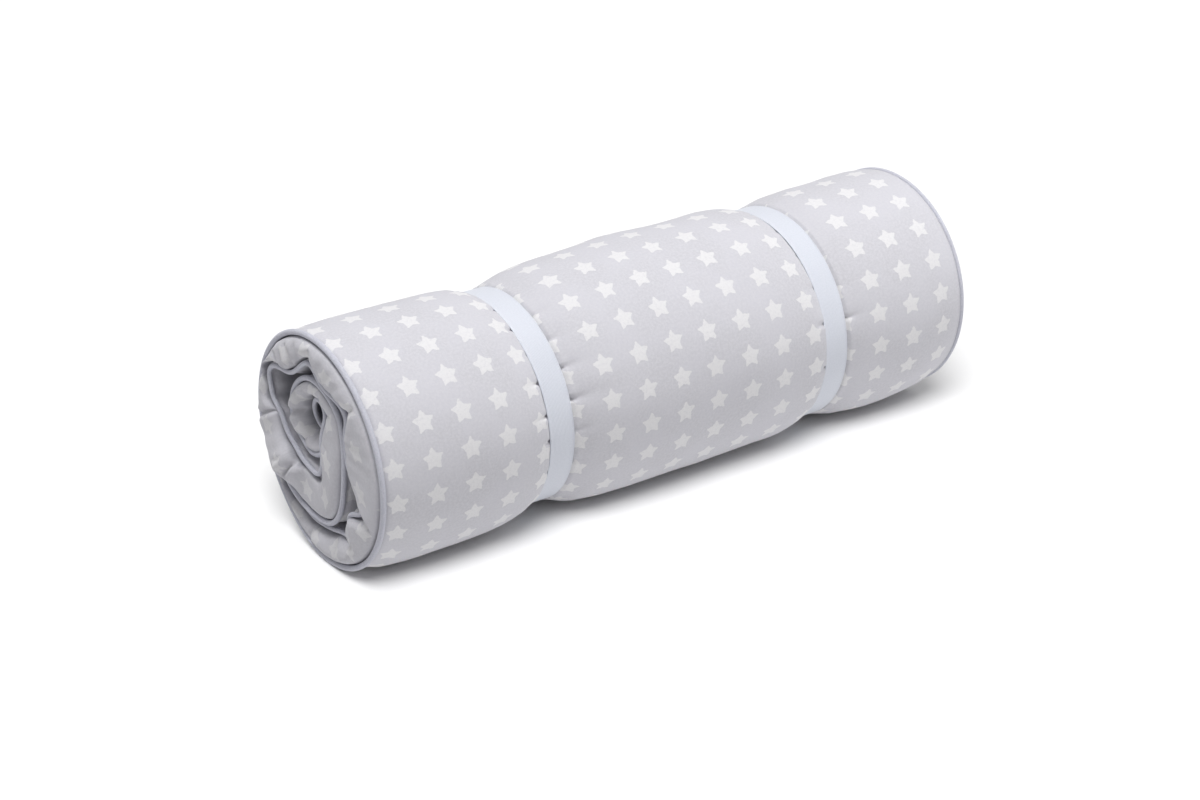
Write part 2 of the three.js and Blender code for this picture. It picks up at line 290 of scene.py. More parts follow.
roundLength = {"outer": lengthRound("outer"), "inner": lengthRound("inner")}


def clothPlace(face, angle, along):
    v = np.interp(angle, denseAngles, roundLength[face])
    u = throughRows(clothAlong, 1, along) - cotton["columnLean"] * np.clip(cotton["leanFrom"] - v, 0, None)
    drift = cotton["rowDrift"] * along / rolling["width"]
    if face == "inner":
        u = u + cotton["innerShift"]
    return u, v - drift


# Puckers where a band gathers the outer panel.
pucker = {
    "depth": 1.7,
    "width": 2.2,            # of the valley at the band
    "spread": 0.16,          # how much wider for each millimetre away from it
    "length": 9,
    "ridge": 0.45,           # the cloth beside a valley stands out by this share
    "notchDepth": 5.5,       # of the small tuck right at the band
    "notchWidth": 1.5,
    "notchLength": 3.2,
    "spacing": (19, 34),     # between the puckers that are left to chance
}

# band, side, length round from the foremost line, depth, length
placedPuckers = [
    (0, "left", 139, 1.0, 0.8), (0, "left", 111, 1.1, 0.9), (0, "left", 83, 0.6, 0.8),
    (0, "left", 55, 1.2, 1.0), (0, "left", 24.5, 1.2, 1.1), (0, "left", 0, 1.0, 0.9),
    (0, "left", -34, 0.7, 0.9), (0, "right", 118, 0.9, 1.6), (0, "right", 90, 0.9, 1.4),
    (0, "right", 62, 1.3, 2.3), (0, "right", 33, 1.5, 2.8), (0, "right", 4, 0.9, 1.8),
    (0, "right", -30, 0.9, 1.8), (1, "left", 128, 0.6, 0.8), (1, "left", 96, 0.6, 0.8),
    (1, "left", 62, 0.7, 0.9), (1, "left", 28, 1.2, 1.0), (1, "left", -15, 1.2, 1.1),
    (1, "left", -50, 0.6, 1.0), (1, "right", 84, 0.6, 1.0), (1, "right", 56, 0.6, 1.0),
    (1, "right", 27, 1.0, 1.6), (1, "right", -6, 0.6, 1.2), (1, "right", -40, 0.7, 1.2),
]


def allPuckers():
    random = np.random.default_rng(11)
    found = list(placedPuckers)
    for index in range(len(bands)):
        for side in ("left", "right"):
            place = 165
            while place < 485:
                found.append((index, side, place, random.uniform(0.5, 1.1), random.uniform(0.7, 1.8)))
                place += random.uniform(*pucker["spacing"])
    return found


puckers = allPuckers()


def gathered(v, along):
    raised = np.zeros(np.broadcast(v, along).shape)
    for index, side, centre, deep, longer in puckers:
        band = bands[index]
        away = band["left"] - along if side == "left" else along - band["right"]
        wide = pucker["width"] * (1 + pucker["spread"] * np.clip(away, 0, None))
        fade = np.exp(-np.clip(away, 0, None) / (pucker["length"] * longer)) * (away > -1)
        across = (v - centre) / wide
        valley = -np.exp(-np.abs(across) ** 1.5) + pucker["ridge"] * np.exp(-((across / 3.2) ** 2))
        raised += pucker["depth"] * deep * valley * fade
        tuck = np.exp(-(((v - centre) / pucker["notchWidth"]) ** 2)) * (away > -1)
        tuck *= np.exp(-np.clip(away, 0, None) / pucker["notchLength"])
        raised -= pucker["notchDepth"] * max(deep - 0.5, 0) * tuck
    return raised


# The pad: both panels and the boxing strip as one closed mesh.
pad = {
    "frontStep": 2.0,        # millimetres between sections on the front of the roll
    "roundStep": 2.7,        # on the rest of the outer turn
    "coreStep": 2.9,         # and further in
    "front": (40, 130),      # the front's middle and reach, as lengths round the roll
    "coreFrom": 560,         # length round the roll where the core begins
    "tuckStep": 0.8,         # beside the puckers' tucks
    "rowStep": 15,           # between rows along the roll, at most
    "rimStep": 0.9,          # beside the rims
    "bandStep": 1.1,         # beside the bands
    "stepGrowth": 0.34,
    "tuckStart": 1.6,        # the panels end this far in, under the piping
    "tuck": 2.3,
    "tuckWidth": 2.6,
    "farTuck": 0.25,         # share of it at the far rim, where the piping lies flush
    "farRim": (545, 590),    # where that comes in, along the roll
    "stripSteps": 22,
    "stripTuck": 3.2,
    "farBulge": 0.8,         # share of the near end's bulges that the far end has
    "endBulge": 7,           # at the free end and the core end
    "innerRound": 9,         # the boxing curves up over this much beside the inner piping
    "groove": 1.2,           # after a groove this wide
    "sag": 2.2,              # the roll's lower front swells by this much
    "sagAt": -52,
    "sagSpread": 18,
    "unevenPanel": 0.7,
    "unevenPanelSize": 95,
    "ripple": 0.22,          # smaller waves in the outer panel
    "rippleSize": 28,
    "pressed": 0.4,          # where two turns lie together, neither swells by more than this
    "unevenStrip": 1.0,
    "wrinkle": 0.55,
    "gatherPitch": 18,
    "gatherDepth": 1.8,
    "farCrease": 0.45,       # share of the near end's creases that the far end has
    "lean": 24,              # the bulges lean by this angle across the strip
    "leanAt": 252,
    "leanSpread": 26,
    "stripPrint": (16, -9),  # where the print falls on the strip
}

# angle, how far the boxing bulges out of the near end there, how deeply it gathers
bulges = [
    (-140, 4, 0.6), (-120, 5, 1), (-95, 7, 1), (-60, 9, 1.4), (-30, 8, 0.8), (0, 7, 0.4), (45, 7, 0.5),
    (85, 7.5, 1.6), (120, 7, 1.8), (137, 4.5, 0.9), (150, 5.5, 0.7), (172, 7, 0.6), (190, 7, 0.6),
    (206, 7.5, 0.6), (220, 12.5, 0.6), (232, 15, 0.5), (240, 10, 0.3), (247, 5, 0.3), (262, 4, 0.3),
    (290, 5, 0.2), (315, 7, 0.3), (340, 7, 0.4), (380, 6, 0.8), (430, 7, 1.6), (500, 10, 1), (530, 11, 0.8),
    (580, 10, 0.8), (612, 8, 1), (640, 7, 1.2), (672, 5, 1),
]

# angle, how much of the boxing curves up beside the outer piping
steepness = [
    (-140, 10), (100, 10), (135, 5), (210, 5), (240, 10), (470, 10), (510, 6), (600, 6), (640, 10),
    (672, 10),
]

# Creases in the boxing at the near end: angle at the outer piping, angle at the inner one, depth, width, and
# the shares of the strip that it starts and ends at.
creases = [
    (197, 188, 8.0, 2.6, -0.1, 1.1), (168, 158, 4.0, 3.0, 0.1, 1.1), (150, 146, 3.6, 2.8, 0.3, 1.1),
    (136, 131, 4.6, 3.0, 0.1, 1.1), (112, 103, 4.2, 3.0, 0.05, 1.1), (97, 90, 4.6, 2.8, 0.1, 1.1),
    (74, 76, 4.6, 3.2, 0.2, 1.1), (30, 27, 5.2, 3.4, 0.15, 1.1), (-28, -27, 6.0, 3.4, 0.2, 1.1),
    (-45, -52, 4.6, 3.0, 0.3, 1.1), (-70, -64, 3.2, 3.0, 0.15, 1.1), (-92, -90, 4.6, 3.0, 0.1, 1.1),
    (226, 240, 3.0, 2.6, 0.2, 0.8), (238, 252, 12.0, 3.4, 0.2, 1.1), (345, 342, 2.2, 3.0, 0.4, 1.1),
    (384, 392, 3.6, 3.0, 0.2, 1.1), (430, 438, 3.4, 3.0, 0.2, 1.1), (470, 462, 4.0, 3.0, 0.2, 1.1),
    (500, 505, 4.4, 3.0, 0.1, 1.1), (547, 541, 9.5, 3.0, 0.0, 1.1), (572, 566, 4.0, 2.6, 0.3, 1.1),
    (600, 596, 8.0, 3.0, 0.1, 1.1), (622, 616, 3.6, 3.0, 0.2, 1.1),
]


# Stations from start to finish whose spacing follows a rule.
def spread(start, finish, stepAt, samples=6000):
    fine = np.linspace(start, finish, samples)
    density = 1 / stepAt(fine)
    count = np.concatenate([[0], np.cumsum((density[1:] + density[:-1]) / 2 * np.diff(fine))])
    steps = max(int(round(count[-1])), 1)
    return np.interp(np.linspace(0, count[-1], steps + 1), count, fine)


def padRows():
    width = rolling["width"]

    def stepAt(along):
        step = np.full_like(along, pad["rowStep"])
        step = np.minimum(step, pad["rimStep"] + pad["stepGrowth"] * np.minimum(along, width - along))
        for band in bands:
            outside = np.maximum(band["left"] - along, along - band["right"])
            step = np.minimum(step, pad["bandStep"] + pad["stepGrowth"] * np.clip(outside, 0, None))
            step = np.where(outside < -1, 5.5, step)
        return step

    return spread(pad["tuckStart"], width - pad["tuckStart"], stepAt)


def padAngles():
    length = roundLength["outer"]

    def stepAt(place):
        fromEnd = np.minimum(place - length[0], length[-1] - place)
        step = np.where(place < pad["coreFrom"], pad["roundStep"], pad["coreStep"])
        frontAt, frontReach = pad["front"]
        step = np.where(np.abs(place - frontAt) < frontReach, pad["frontStep"], step)
        for _, side, centre, deep, _ in placedPuckers:
            if side == "left" and deep > 0.9:
                step = np.minimum(step, pad["tuckStep"] + pad["stepGrowth"] * np.abs(place - centre))
        return np.minimum(step, pad["rimStep"] + pad["stepGrowth"] * fromEnd)

    places = spread(length[0] + pad["tuckStart"], length[-1] - pad["tuckStart"], stepAt)
    return np.interp(places, length, denseAngles)


rows = padRows()
angles = padAngles()
print("pad:", len(angles), "sections by", len(rows), "rows")


# The grid's angles and places along the roll, with the corners of the pad rounded. Also the distance from the
# pad's edge, and how much of the way out of the pad there lies along the winding and along the roll.
def roundedGrid(face):
    angle, along = np.meshgrid(angles, rows, indexing="ij")
    length = np.interp(angle, denseAngles, roundLength[face])
    ends = roundLength[face][0], roundLength[face][-1]
    fromEnd = np.minimum(length - ends[0], ends[1] - length)
    fromRim = np.minimum(along, rolling["width"] - along)
    size = rolling["cornerRound"]
    a, b = np.clip(size - fromEnd, 0, None), np.clip(size - fromRim, 0, None)
    both = (a > 0) & (b > 0)
    scale = np.where(both, np.maximum(a, b) / np.maximum(np.hypot(a, b), 1e-9), 1)
    endSide = np.where(length < (ends[0] + ends[1]) / 2, 1, -1)
    rimSide = np.where(along < rolling["width"] / 2, 1, -1)
    newLength = length + endSide * a * (1 - scale)
    newAlong = along + rimSide * b * (1 - scale)
    newAngle = np.interp(newLength, roundLength[face], denseAngles)
    outwards = np.hypot(a, b)
    out = -endSide * a / np.maximum(outwards, 1e-9), -rimSide * b / np.maximum(outwards, 1e-9)
    return newAngle, newAlong, np.minimum(fromEnd, fromRim), out


def farRim(along):
    return smooth(along, *pad["farRim"])


def panelOffset(face, angle, along, fromEdge):
    tuck = pad["tuck"] * (1 - (1 - pad["farTuck"]) * farRim(along))
    offset = -tuck * np.exp(-(((fromEdge - pad["tuckStart"]) / pad["tuckWidth"]) ** 2))
    u, v = clothPlace(face, angle, along)
    inside = smooth(fromEdge, 4, 26)
    offset += inside * pad["unevenPanel"] * uneven(u, v, pad["unevenPanelSize"], 3 if face == "outer" else 4)
    if face == "outer":
        fromBand = np.minimum(*(np.maximum(band["left"] - along, along - band["right"]) for band in bands))
        sagging = np.exp(-(((angle - pad["sagAt"]) / pad["sagSpread"]) ** 2)) * smooth(fromBand, 2, 26)
        offset += inside * pad["sag"] * sagging
        offset += inside * pad["ripple"] * uneven(u, v, pad["rippleSize"], 5)
        offset += gathered(v, along) * (angle < rolling["freeEnd"] + 360)
    wound = angle > rolling["freeEnd"] + 360 if face == "outer" else angle + 360 < rolling["coreEnd"]
    return np.where(wound, np.minimum(offset, pad["pressed"]), offset)


def panelGrid(face):
    angle, along, fromEdge, out = roundedGrid(face)
    front, up = sectionPoint(face, angle, along)
    tangent, normal = sectionDirections(face, angle, along)
    offset = panelOffset(face, angle, along, fromEdge)
    points = placed(front + offset * normal[0], up + offset * normal[1], along + drawIn(face, angle, along))
    outwards = np.stack([out[1], -out[0] * tangent[0], out[0] * tangent[1]], -1)
    return points, np.stack(clothPlace(face, angle, along), -1), outwards


def rimSteps():
    lastAngle, lastRow = len(angles) - 1, len(rows) - 1
    steps = [(i, 0) for i in range(lastAngle)]
    steps += [(lastAngle, j) for j in range(lastRow)]
    steps += [(i, lastRow) for i in range(lastAngle, 0, -1)]
    steps += [(0, j) for j in range(lastRow, 0, -1)]
    return np.array(steps)


# a quarter round that has risen all the way after a given length
def quarterRound(length, rise):
    return np.sqrt(1 - (1 - np.clip(length / rise, 0, 1)) ** 2)


def stripOffset(steps, share, width, lengths):
    lastRow = len(rows) - 1
    angle, j = angles[steps[:, 0]], steps[:, 1]
    near, far = (j == 0)[:, None], (j == lastRow)[:, None]
    onPanelEnd = ~near & ~far
    across = share * width[:, None]
    room = (width[:, None] - 2 * pad["groove"]).clip(2) / 2
    outerRound = throughRows(steepness, 1, angle[:, None])
    profile = quarterRound(across - pad["groove"], np.minimum(outerRound, room))
    fromInner = width[:, None] - pad["groove"] - across
    profile = profile * quarterRound(fromInner, np.minimum(pad["innerRound"], room))
    fromLean = (angle[:, None] - pad["leanAt"]) / pad["leanSpread"]
    leaning = angle[:, None] - pad["lean"] * share * np.exp(-(fromLean ** 2))
    high = throughRows(bulges, 1, leaning)
    high = np.where(far, high * pad["farBulge"], np.where(onPanelEnd, pad["endBulge"], high))
    raised = high * profile
    raised += uneven(lengths[:, None], across, 46, 7) * pad["unevenStrip"] * profile
    bend = uneven(lengths[:, None], across * 0.5, 80, 12)
    fold = np.sin(math.pi * (lengths[:, None] / pad["gatherPitch"] + 0.4 * bend))
    fold = np.sqrt(fold**2 + 0.1)
    strength = (0.6 + 0.4 * uneven(lengths[:, None], across * 0.5, 60, 13)) * smooth(share, 0.1, 0.8)
    gather = throughRows(bulges, 2, angle)[:, None]
    raised += pad["gatherDepth"] * gather * (fold - 0.8) * strength * profile * (near | far)
    wrinkle = uneven(lengths[:, None], across * 0.35, 13, 21)
    raised += pad["wrinkle"] * (0.5 + 0.5 * gather) * wrinkle * profile * (near | far)
    for outerAngle, innerAngle, deep, wide, start, finish in creases:
        turned = angle[:, None] - outerAngle - (innerAngle - outerAngle) * share
        radius = outerRadius(np.array([float(outerAngle)]))[0] - across
        aside = np.radians(turned) * np.maximum(radius, 12) / wide
        along = smooth(share, start, start + 0.25) * (1 - smooth(share, finish - 0.15, finish))
        valley = -np.exp(-np.abs(aside) ** 1.2) + 0.3 * np.exp(-((aside / 3.6) ** 2))
        raised += np.where(near, 1, pad["farCrease"] * far) * deep * valley * along * profile**0.7
    return raised - pad["stripTuck"] * (1 - smooth(profile, 0, 0.5))


def buildPad():
    outer, outerCloth, outwards = panelGrid("outer")
    inner, innerCloth, _ = panelGrid("inner")
    n, m = outer.shape[:2]
    steps = rimSteps()
    i, j = steps[:, 0], steps[:, 1]
    outerRim, innerRim, out = outer[i, j], inner[i, j], outwards[i, j]
    width = np.linalg.norm(innerRim - outerRim, axis=1)
    middle = (outerRim + innerRim) / 2
    stepLength = np.linalg.norm(middle - np.roll(middle, 1, axis=0), axis=1)
    lengths = np.cumsum(stepLength)
    share = (1 - np.cos(np.linspace(0, math.pi, pad["stripSteps"] + 1)))[None, 1:-1] / 2
    raised = stripOffset(steps, share, width, lengths)
    strip = outerRim[:, None] + (innerRim - outerRim)[:, None] * share[..., None]
    strip = strip + out[:, None] * raised[..., None]

    points = np.concatenate([outer.reshape(-1, 3), inner.reshape(-1, 3), strip.reshape(-1, 3)])
    outerIds = np.arange(n * m).reshape(n, m)
    innerIds = outerIds + n * m
    stripIds = np.arange(strip.shape[0] * strip.shape[1]).reshape(strip.shape[:2]) + 2 * n * m
    across = np.concatenate([outerIds[i, j][:, None], stripIds, innerIds[i, j][:, None]], axis=1)
    shares = np.concatenate([[0], share[0], [1]])
    stripU = lengths[:, None] + pad["stripPrint"][0] + np.zeros_like(shares)[None]
    stripV = width[:, None] * (shares[None] - 0.5) + pad["stripPrint"][1]

    faces, cloth = [], []

    def patch(ids, uv, flip):
        corners = [ids[:-1, :-1], ids[:-1, 1:], ids[1:, 1:], ids[1:, :-1]]
        places = [uv[:-1, :-1], uv[:-1, 1:], uv[1:, 1:], uv[1:, :-1]]
        if flip:
            corners, places = corners[::-1], places[::-1]
        faces.append(np.stack(corners, -1).reshape(-1, 4))
        cloth.append(np.stack(places, -2).reshape(-1, 4, 2))

    patch(outerIds, outerCloth, False)
    patch(innerIds, innerCloth, True)
    closed = np.concatenate([across, across[:1]])
    stripUv = np.stack([stripU, stripV], -1)
    lastUv = stripUv[:1] + np.array([lengths[-1], 0])
    patch(closed, np.concatenate([stripUv, lastUv]), True)
    mesh = bpy.data.meshes.new("mattress")
    mesh.from_pydata((points * mm).tolist(), [], np.concatenate(faces).tolist())
    layer = mesh.uv_layers.new(name="cloth")
    layer.data.foreach_set("uv", (np.concatenate(cloth) * mm).astype(np.float32).ravel())
    mesh.shade_smooth()
    addPaintedShade(mesh, share, width)
    return addPiece("Mattress", mesh, "star_cotton", "mattress")


# Painted shade on the cloth: how close each vertex of the pad is to a seam, whose groove is painted darker,
# or deep in the core and hollows, where the inner panel is painted darker; and which ones are of the boxing.
def addPaintedShade(mesh, share, width):
    rounds = [np.interp(angles, denseAngles, roundLength[face]) for face in ("outer", "inner")]
    ends = [np.minimum(length - length[0], length[-1] - length) for length in rounds]
    fromRim = np.minimum(rows, rolling["width"] - rows)
    # painted shade along the seams: each panel and the boxing darker beside the piping, less so on the outer
    # panel at the far rim
    close = [1 - smooth(np.minimum(end[:, None], fromRim[None]) - pad["tuckStart"], 0.4, 2.2) for end in ends]
    close[0] = close[0] * (1 - (1 - pad["farTuck"]) * farRim(rows)[None])
    fromPanel = np.minimum(share, 1 - share) * width[:, None]
    close.append(1 - smooth(fromPanel, 0.8, 2.8))
    # painted shade deep in the roll: the inner panel darker in the core and everywhere from about 18 mm in
    # from the rims
    inCore = smooth(angles, 340, 372)[:, None] * smooth(fromRim, 1.5, 5)[None]
    close[1] = np.maximum(close[1], np.maximum(1.2 * inCore, 0.9 * smooth(fromRim, 3, 18)[None]))
    seam = np.concatenate([part.ravel() for part in close]).astype(np.float32)
    mesh.attributes.new("seam", "FLOAT", "POINT").data.foreach_set("value", seam)
    boxing = (np.arange(len(seam)) >= 2 * close[0].size).astype(np.float32)
    mesh.attributes.new("boxing", "FLOAT", "POINT").data.foreach_set("value", boxing)


def addPiece(name, mesh, slot, *nodes):
    piece = bpy.data.objects.new(name, mesh)
    bpy.context.scene.collection.objects.link(piece)
    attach(piece, "root")
    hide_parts(*nodes)
    return piece


# The corded edges.
piping = {
    "radius": {"outer": 2.4, "inner": 2.1},
    "sides": 12,
    "sink": 0.2,             # its middle below the faces that it joins
    "farSink": 1.1,          # and this much deeper at the far rim
    "endStandOff": 1,        # and this much further out at the free end and the core end
    "rounding": 2.6,         # corners of its run are eased over this many steps
    "step": 2.6,
    "lowest": 2.6,           # its middle above the surface that the roll rests on
    "axisUp": 104.0,         # its ring of points faces the roll's axis, at this height
    "axisLean": 0.35,        # and leans this much towards the roll's middle
}


def closedSpacing(points, step):
    lengths = np.linalg.norm(np.roll(points, -1, axis=0) - points, axis=1)
    total = np.concatenate([[0], np.cumsum(lengths)])
    count = int(total[-1] / step)
    at = np.linspace(0, total[-1], count, endpoint=False)
    around = np.concatenate([points, points[:1]])
    return np.stack([np.interp(at, total, around[:, k]) for k in range(3)], -1), total[-1]


def eased(points, width):
    reach = int(width * 3)
    offsets = np.arange(-reach, reach + 1)
    weights = np.exp(-((offsets / width) ** 2) / 2)
    weights /= weights.sum()
    return sum(w * np.roll(points, k, axis=0) for k, w in zip(offsets, weights))


def pipingRun(face):
    steps = rimSteps()
    angle, along, _, out = (np.array(x)[..., steps[:, 0], steps[:, 1]] for x in roundedGrid(face))
    tangent, normal = sectionDirections(face, angle, along)
    front, up = sectionPoint(face, angle, along)
    sink = piping["sink"] + piping["farSink"] * farRim(along)
    toEdge = pad["tuckStart"] - piping["sink"] + piping["endStandOff"] * np.abs(out[0])
    front = front - sink * normal[0] + toEdge * out[0] * tangent[0]
    up = up - sink * normal[1] + toEdge * out[0] * tangent[1]
    points = placed(front, up, along + toEdge * out[1] + drawIn(face, angle, along))
    points[:, 2] = np.maximum(points[:, 2], piping["lowest"])
    spaced, _ = closedSpacing(points, piping["step"])
    return closedSpacing(eased(spaced, piping["rounding"]), piping["step"])


def tube(points, radius, sides, length):
    count = len(points)
    tangent = np.roll(points, -1, axis=0) - np.roll(points, 1, axis=0)
    tangent /= np.linalg.norm(tangent, axis=1)[:, None]
    away = points - np.array([0, 0, piping["axisUp"]])
    away[:, 0] *= piping["axisLean"]
    across = np.cross(tangent, away)
    across /= np.linalg.norm(across, axis=1)[:, None]
    up = np.cross(across, tangent)
    turn = 2 * math.pi * np.arange(sides) / sides
    ring = up[:, None] * np.cos(turn)[None, :, None] + across[:, None] * np.sin(turn)[None, :, None]
    verts = (points[:, None] + ring * radius).reshape(-1, 3)
    ids = np.arange(count * sides).reshape(count, sides)
    ahead = np.roll(ids, -1, axis=0)
    quads = np.stack([ids, np.roll(ids, -1, axis=1), np.roll(ahead, -1, axis=1), ahead], -1).reshape(-1, 4)
    u = np.arange(count) * length / count
    uStart, uEnd = u[:, None] + np.zeros(sides), u[:, None] + length / count + np.zeros(sides)
    vStart = np.zeros(count)[:, None] + np.arange(sides) * 2 * math.pi * radius / sides
    vEnd = vStart + 2 * math.pi * radius / sides
    uv = np.stack([
        np.stack([uStart, vStart], -1), np.stack([uStart, vEnd], -1),
        np.stack([uEnd, vEnd], -1), np.stack([uEnd, vStart], -1),
    ], -2).reshape(-1, 2)
    return verts, quads, uv


def buildPiping(name, face, node):
    points, length = pipingRun(face)
    verts, quads, uv = tube(points, piping["radius"][face], piping["sides"], length)
    mesh = bpy.data.meshes.new(name)
    mesh.from_pydata((verts * mm).tolist(), [], quads.tolist())
    layer = mesh.uv_layers.new(name="cloth")
    layer.data.foreach_set("uv", (uv * mm).astype(np.float32).ravel())
    mesh.shade_smooth()
    print(name, round(length), "mm of piping")
    return addPiece(name, mesh, "piping_cotton", node)


# The elastic bands.
elastic = {
    "thickness": 1.2,
    "sides": 180,
    "crown": 0.3,            # the middle stands out by this much
    "edge": 0.5,             # rounding of the edges
    "selvedge": 1.5,         # width of the cord along each edge
    "selvedgeHeight": 0.3,
    "waver": 0.35,           # how far the band strays from a true ring
}


def buildBand(name, band, seed):
    width = band["right"] - band["left"]
    half = width / 2
    inside = band["outside"] - elastic["thickness"]
    edge = elastic["edge"]
    profile = []
    flat = half - elastic["selvedge"]
    for across in np.linspace(-half + edge, half - edge, 27):
        crowned = elastic["crown"] * (1 - (across / half) ** 2)
        cord = math.sin(math.pi * min(max(abs(across) - flat, 0) / elastic["selvedge"], 1))
        height = crowned + elastic["selvedgeHeight"] * (cord - 0.5)
        profile.append((across, band["outside"] - elastic["crown"] + height))
    low = inside + 0.1
    profile += [(half, band["outside"] - elastic["crown"] - edge), (half - 0.1, low)]
    profile += [(0, low), (-half + 0.1, low), (-half, band["outside"] - elastic["crown"] - edge)]
    profile = np.array(profile)
    turn = 2 * math.pi * np.arange(elastic["sides"]) / elastic["sides"]
    length = 2 * math.pi * band["outside"]
    place = turn * band["outside"]
    wave = elastic["waver"] * np.sin(3 * turn + seed) + 0.2 * elastic["waver"] * np.sin(11 * turn + 2 * seed)
    along = (band["left"] + band["right"]) / 2 - rolling["width"] / 2 + profile[None, :, 0] + wave[:, None]
    radius = profile[None, :, 1] + np.zeros_like(wave)[:, None]
    up = radius * np.sin(turn)[:, None]
    verts = np.stack([along - bandLie["skew"] * up, -radius * np.cos(turn)[:, None], band["axisUp"] + up], -1)
    count, sides = verts.shape[:2]
    ids = np.arange(count * sides).reshape(count, sides)
    ahead = np.roll(ids, -1, axis=0)
    quads = np.stack([ids, ahead, np.roll(ahead, -1, axis=1), np.roll(ids, -1, axis=1)], -1).reshape(-1, 4)
    girth = np.concatenate([[0], np.cumsum(np.hypot(*(np.roll(profile, -1, axis=0) - profile).T))])
    u0 = place[:, None] + np.zeros(sides)
    u1 = u0 + length / count
    v0 = np.zeros(count)[:, None] + girth[:-1]
    v1 = np.zeros(count)[:, None] + girth[1:]
    uv = np.stack([
        np.stack([u0, v0], -1), np.stack([u1, v0], -1), np.stack([u1, v1], -1), np.stack([u0, v1], -1),
    ], -2).reshape(-1, 2)
    mesh = bpy.data.meshes.new(name)
    mesh.from_pydata((verts.reshape(-1, 3) * mm).tolist(), [], quads.tolist())
    layer = mesh.uv_layers.new(name="cloth")
    layer.data.foreach_set("uv", (uv * mm).astype(np.float32).ravel())
    mesh.shade_smooth()
    piece = addPiece(name, mesh, "white_elastic", band["name"])
    return piece


# Short ways to build a shader.
class Shader:
    def __init__(self, name):
        self.material = bpy.data.materials.new(name)
        self.material.use_nodes = True
        self.tree = self.material.node_tree
        self.surface = self.tree.nodes["Principled BSDF"]

    def add(self, kind, links=None, **settings):
        made = self.tree.nodes.new(kind)
        for key, value in settings.items():
            setattr(made, key, value)
        for key, value in (links or {}).items():
            self.join(value, made.inputs[key])
        return made

    def join(self, value, socket):
        if isinstance(value, bpy.types.NodeSocket):
            self.tree.links.new(value, socket)
        else:
            socket.default_value = value

    def sum(self, operation, *values):
        made = self.add("ShaderNodeMath", operation=operation)
        for value, socket in zip(values, made.inputs):
            self.join(value, socket)
        return made.outputs[0]

    def between(self, value, low, high):
        made = self.add("ShaderNodeMapRange", interpolation_type="SMOOTHSTEP")
        for key, item in (("Value", value), ("From Min", low), ("From Max", high)):
            self.join(item, made.inputs[key])
        return made.outputs["Result"]

    def mix(self, share, a, b):
        made = self.add("ShaderNodeMix", data_type="RGBA")
        for value, socket in ((share, 0), (a, 6), (b, 7)):
            self.join(value, made.inputs[socket])
        return made.outputs[2]

    def noise(self, place, scale, detail=2.0, roughness=0.5):
        links = {"Vector": place, "Scale": scale, "Detail": detail, "Roughness": roughness}
        return self.add("ShaderNodeTexNoise", links).outputs["Fac"]

    def clothPlace(self):
        place = self.add("ShaderNodeUVMap", uv_map="cloth").outputs[0]
        scaled = self.add("ShaderNodeVectorMath", {0: place, 1: (1000, 1000, 1000)}, operation="MULTIPLY")
        parts = self.add("ShaderNodeSeparateXYZ", {0: scaled.outputs[0]})
        return scaled.outputs[0], parts.outputs[0], parts.outputs[1]

    def bump(self, height, distance, strength=1.0, under=None):
        links = {"Height": height, "Distance": distance, "Strength": strength}
        if under is not None:
            links["Normal"] = under
        return self.add("ShaderNodeBump", links).outputs[0]


def srgb(red, green, blue):
    linear = [((c / 255 + 0.055) / 1.055) ** 2.4 if c > 10 else c / 255 / 12.92 for c in (red, green, blue)]
    return (*linear, 1)


cottonFinish = {
    "ground": srgb(212, 211, 218),
    "star": srgb(235, 234, 236),
    "shade": srgb(207, 206, 212),
    "worn": srgb(217, 216, 222),
    # colour of the painted shade at the seams, deep in the roll and faintly over the boxing
    "seam": srgb(98, 98, 111),
    "starReach": 10.5,       # millimetres to a star's tip
    "starWaist": 5.8,        # and to the notch between two tips
    "starRound": 9.7,
    "edge": 0.7,
    "wobble": 0.9,
    "ragged": 1.0,
    "thread": 0.55,
}


